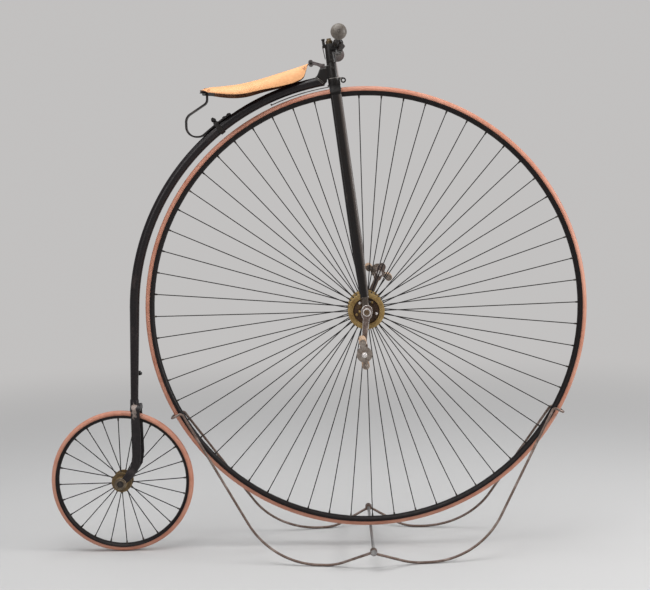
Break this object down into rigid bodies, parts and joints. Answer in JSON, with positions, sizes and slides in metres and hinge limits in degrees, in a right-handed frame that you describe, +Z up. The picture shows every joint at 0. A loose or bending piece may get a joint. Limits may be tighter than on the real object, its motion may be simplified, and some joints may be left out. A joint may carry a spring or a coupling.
{
  "type": "high wheel bicycle",
  "caption": "Antique high-wheel bicycle with a tall spoked front wheel, small trailing wheel, curved backbone, leather saddle and a bent-rod display stand.",
  "frame": {"origin": "on the floor, under the middle of the overall length, in the plane of the wheels", "axes": "+X the way it rides, +Z up, +Y the rider's left"},
  "size_m": [1.6239, 0.65, 1.5302],
  "materials": {
    "black_enamel": "worn satin enamel over steel",
    "worn_steel": "dull worn nickel, grey in the recesses",
    "dark_steel": "oiled dark steel",
    "brass": "polished with some tarnish",
    "tan_rubber": "solid orange-tan rubber, slightly chalky",
    "pedal_rubber": "aged pinkish-tan rubber",
    "tan_leather": "light tan, creased, darker edges",
    "horn": "glossy black",
    "stand_steel": "grey-brown bare rod",
    "zinc_rod": "pale galvanised rod"
  },
  "bodies": {
    "stand_and_fork": {"stand_rear_rod": "stand_steel", "stand_front_rod": "stand_steel", "stand_crossbar": "zinc_rod", "fork_crown": "black_enamel", "fork_blade_right": "black_enamel", "fork_blade_left": "black_enamel", "bearing_housing_right": "dark_steel", "bearing_housing_left": "dark_steel", "steering_stem": "dark_steel", "lamp_eye": "black_enamel", "head_lug": "black_enamel", "head_cap": "brass", "handlebar": "black_enamel", "grip_right": "horn", "grip_left": "horn", "brake_lever": "dark_steel", "brake_spring": "worn_steel", "brake_spoon": "dark_steel"},
    "front_wheel": {"front_tyre": "tan_rubber", "front_rim_spokes": "black_enamel", "front_flange_right": "brass", "front_flange_left": "brass", "front_axle": "dark_steel", "crank_right": "worn_steel", "crank_left": "worn_steel", "pedal_pin_right": "worn_steel", "pedal_pin_left": "worn_steel"},
    "pedal_right": {"pedal_frame_right": "worn_steel", "pedal_rubbers_right": "pedal_rubber"},
    "pedal_left": {"pedal_frame_left": "worn_steel", "pedal_rubbers_left": "pedal_rubber"},
    "backbone": {"backbone_tube": "black_enamel", "steering_neck": "black_enamel", "rear_fork": "black_enamel", "rear_axle": "worn_steel", "mounting_step": "dark_steel", "saddle_leather": "tan_leather", "cantle_plate": "dark_steel", "saddle_nose_arm": "dark_steel", "saddle_spring": "black_enamel", "spring_clip": "dark_steel"},
    "rear_wheel": {"rear_tyre": "tan_rubber", "rear_rim_spokes": "black_enamel", "rear_hub": "brass"}
  },
  "joints": [
    {"name": "front_wheel_spin", "type": "hinge", "parent": "stand_and_fork", "child": "front_wheel", "pos_m": [0.15159, 0, 0.7245], "axis": [0, 1, 0], "continuous": true},
    {"name": "pedal_right_spin", "type": "hinge", "parent": "front_wheel", "child": "pedal_right", "pos_m": [0.14009, -0.1507, 0.6151], "axis": [0, 1, 0], "continuous": true},
    {"name": "pedal_left_spin", "type": "hinge", "parent": "front_wheel", "child": "pedal_left", "pos_m": [0.19668, 0.1507, 0.82483], "axis": [0, 1, 0], "continuous": true},
    {"name": "steering", "type": "hinge", "parent": "stand_and_fork", "child": "backbone", "pos_m": [0.06571, 0, 1.43936], "axis": [-0.1193, 0, 0.9929], "range_deg": [-60, 60]},
    {"name": "rear_wheel_spin", "type": "hinge", "parent": "backbone", "child": "rear_wheel", "pos_m": [-0.59609, 0, 0.2159], "axis": [0, 1, 0], "continuous": true}
  ]
}
